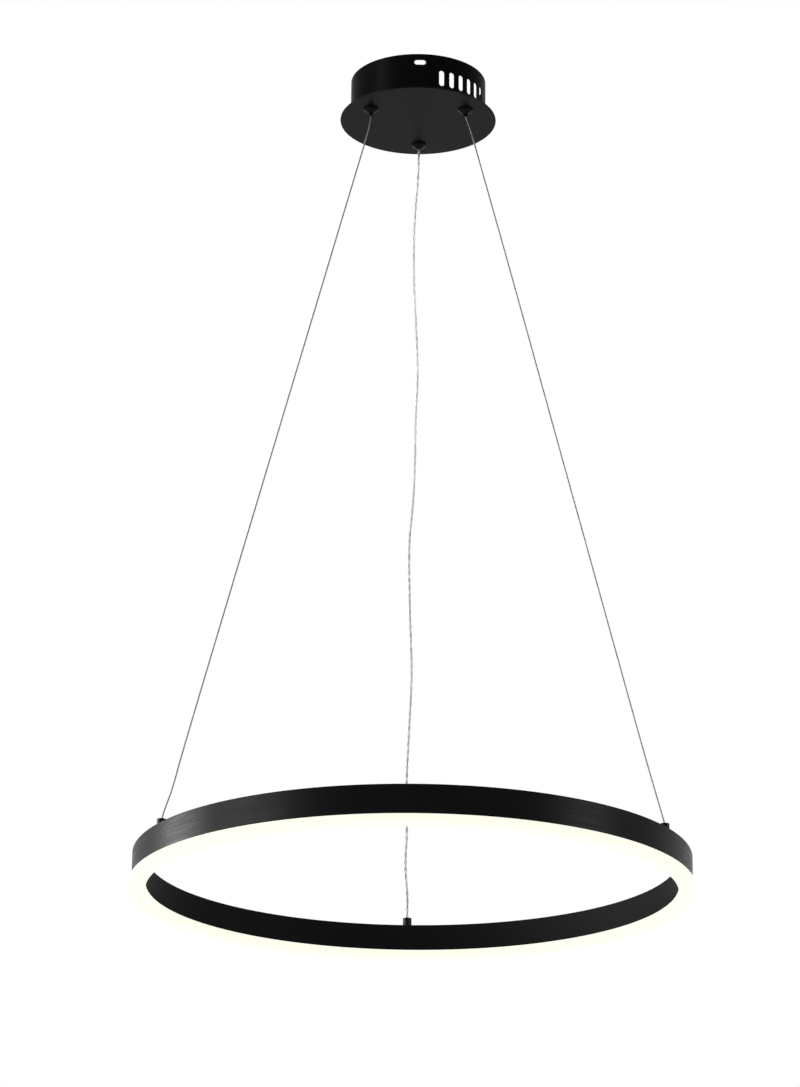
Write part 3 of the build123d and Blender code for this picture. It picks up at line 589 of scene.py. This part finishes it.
def makePowerCord(s):
    route = [Vector(point) for point in s["route"]]
    line = thinned(lineOfRoute("powerCordRoute", route, s["resolution"]), s["step"])
    lobes = [(s["lobeShift"], s["lobeRadius"], 0.0), (s["lobeShift"], s["lobeRadius"], math.pi)]
    cores = [(s["lobeShift"], s["coreRadius"], 0.0), (s["lobeShift"], s["coreRadius"], math.pi)]
    cover = strandsAlong("powerCordCover", line, lobes, s["twist"], s["lobeSides"], clearPvc)
    core = strandsAlong("powerCordCores", line, cores, s["twist"], s["coreSides"], cordCopper)
    for piece in (cover, core):
        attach(piece, "canopy")
        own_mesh(piece)
    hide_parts("power_cord")
    print("power cord made, length", round(lengthOf(line), 4))


makePowerCord(cordSet)

# Leads inside the canopy: two from the terminal block to the driver, and the cord's two cores to the driver
mainsSet = {
    "piece": "mainsLeads",
    "node": "mains_leads",
    "radius": 1.1 * mm,
    "resolution": 24,
    "sides": 3,
    "route": [(0, -0.043, -0.0401), (0, -0.034, -0.0401), (0, -0.021, -0.0368), (0, -0.0134, -0.0368)],
    "shifts": [(-0.034, 0, 0), (-0.018, 0, 0)],
}
tailSet = {
    "piece": "cordTailCores",
    "node": "cord_tail",
    "radius": 0.8 * mm,
    "resolution": 24,
    "sides": 3,
    "route": [
        (0.000873, 0.062494, -0.0311), (0.000873, 0.062494, -0.0201), (0.006, 0.052, -0.0111),
        (0.015, 0.046, -0.0131), (0.022, 0.041, -0.0211), (0.025, 0.0345, -0.0314),
        (0.025, 0.0254, -0.0314),
    ],
    "shifts": [(-0.000997, -0.000668, 0), (0.000997, 0.000668, 0)],
}


def makeLeads(s, colours):
    bm = bmesh.new()
    for number, shift in enumerate(s["shifts"]):
        points = [Vector(point) + Vector(shift) for point in s["route"]]
        line = thinned(lineOfRoute(s["piece"] + "Route", points, s["resolution"]), s["radius"] / 2)
        lead = tubeAlong(s["piece"] + str(number), line, s["radius"], s["sides"], colours[number])
        first = len(bm.faces)
        bm.from_mesh(lead.data)
        bm.faces.ensure_lookup_table()
        for face in bm.faces[first:]:
            face.material_index = number
        leadMesh = lead.data
        bpy.data.objects.remove(lead)
        bpy.data.meshes.remove(leadMesh)
    mesh = bpy.data.meshes.new(s["piece"])
    bm.to_mesh(mesh)
    bm.free()
    for colour in colours:
        mesh.materials.append(colour)
    leads = bpy.data.objects.new(s["piece"], mesh)
    scene.collection.objects.link(leads)
    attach(leads, "canopy")
    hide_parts(s["node"])


makeLeads(mainsSet, [leadBrown, leadBlue])
makeLeads(tailSet, [leadRed, leadBlack])
print("leads made")

# Studio: white seen straight on, mirrored or through the clear cord, plain soft light on everything else
worldSet = {"ambient": 0.55, "backdrop": 1.0}


def makeWorld(s):
    world = bpy.data.worlds.new("studio")
    scene.world = world
    world.use_nodes = True
    tree = world.node_tree
    tree.nodes.clear()
    path = addNode(tree, "ShaderNodeLightPath")
    seen = addNode(
        tree, "ShaderNodeMath",
        {0: path.outputs["Is Camera Ray"], 1: path.outputs["Is Glossy Ray"]}, {"operation": "MAXIMUM"},
    )
    through = addNode(
        tree, "ShaderNodeMath",
        {0: seen.outputs[0], 1: path.outputs["Is Transmission Ray"]}, {"operation": "MAXIMUM"},
    )
    soft = addNode(tree, "ShaderNodeBackground", {"Color": pureWhite, "Strength": s["ambient"]})
    white = addNode(tree, "ShaderNodeBackground", {"Color": pureWhite, "Strength": s["backdrop"]})
    mix = addNode(
        tree, "ShaderNodeMixShader",
        {0: through.outputs[0], 1: soft.outputs["Background"], 2: white.outputs["Background"]},
    )
    addNode(tree, "ShaderNodeOutputWorld", {"Surface": mix.outputs["Shader"]})


makeWorld(worldSet)

# Floor, far below the ring: reflections see its pale paint as white as the backdrop, and the camera nearly so
floorSet = {"height": -2.4, "reach": 9.0, "cameraShare": 0.8, "whiteness": 0.95}


def makeFloorPaint(s):
    material = makePlastic("paleFloorPaint", "dedede", "e2e2e2", roughness=0.7, grainMm=60.0)
    tree = material.node_tree
    path = addNode(tree, "ShaderNodeLightPath")
    seen = addNode(
        tree, "ShaderNodeMath",
        {0: path.outputs["Is Camera Ray"], 1: s["cameraShare"], 2: path.outputs["Is Glossy Ray"]},
        {"operation": "MULTIPLY_ADD"},
    )
    paint = tree.nodes["Principled BSDF"].outputs["BSDF"]
    pale = addNode(tree, "ShaderNodeEmission", {"Color": pureWhite, "Strength": s["whiteness"]})
    mix = addNode(tree, "ShaderNodeMixShader", {0: seen.outputs[0], 1: paint, 2: pale.outputs["Emission"]})
    tree.links.new(mix.outputs["Shader"], tree.nodes["Material Output"].inputs["Surface"])
    return material


def makeFloor(s):
    bm = bmesh.new()
    bmesh.ops.create_grid(bm, x_segments=1, y_segments=1, size=s["reach"])
    bmesh.ops.translate(bm, verts=bm.verts, vec=(0, 0, s["height"]))
    mesh = bpy.data.meshes.new("paleFloor")
    bm.to_mesh(mesh)
    bm.free()
    floor = bpy.data.objects.new("paleFloor", mesh)
    mesh.materials.append(makeFloorPaint(s))
    scene.collection.objects.link(floor)


makeFloor(floorSet)

# Softboxes: those at the ring's level give its wall a sheen, the high one lights the can
lampSets = {
    "leftSoftbox": {
        "place": (-2.6, 0.55, -0.5), "target": (-0.2, -0.1, -0.9), "size": (1.0, 0.75), "watts": 58,
    },
    "frontLeftSoftbox": {
        "place": (-2.3, -1.1, -0.5), "target": (-0.2, -0.1, -0.9), "size": (1.3, 0.8), "watts": 44,
    },
    "highLeftSoftbox": {
        "place": (-2.3, -1.1, 1.2), "target": (0, 0, -0.02), "size": (0.8, 0.8), "watts": 30,
    },
    "rightSoftbox": {
        "place": (2.5, -0.9, -0.5), "target": (0.2, 0, -0.8), "size": (0.9, 0.9), "watts": 22,
    },
}


def makeSoftbox(name, s):
    data = bpy.data.lights.new(name, "AREA")
    data.shape = "RECTANGLE"
    data.size, data.size_y = s["size"]
    data.energy = s["watts"]
    lamp = bpy.data.objects.new(name, data)
    lamp.location = s["place"]
    lamp.rotation_euler = (Vector(s["target"]) - Vector(s["place"])).to_track_quat("-Z", "Y").to_euler()
    scene.collection.objects.link(lamp)


for name, lampSet in lampSets.items():
    makeSoftbox(name, lampSet)
print("studio set")
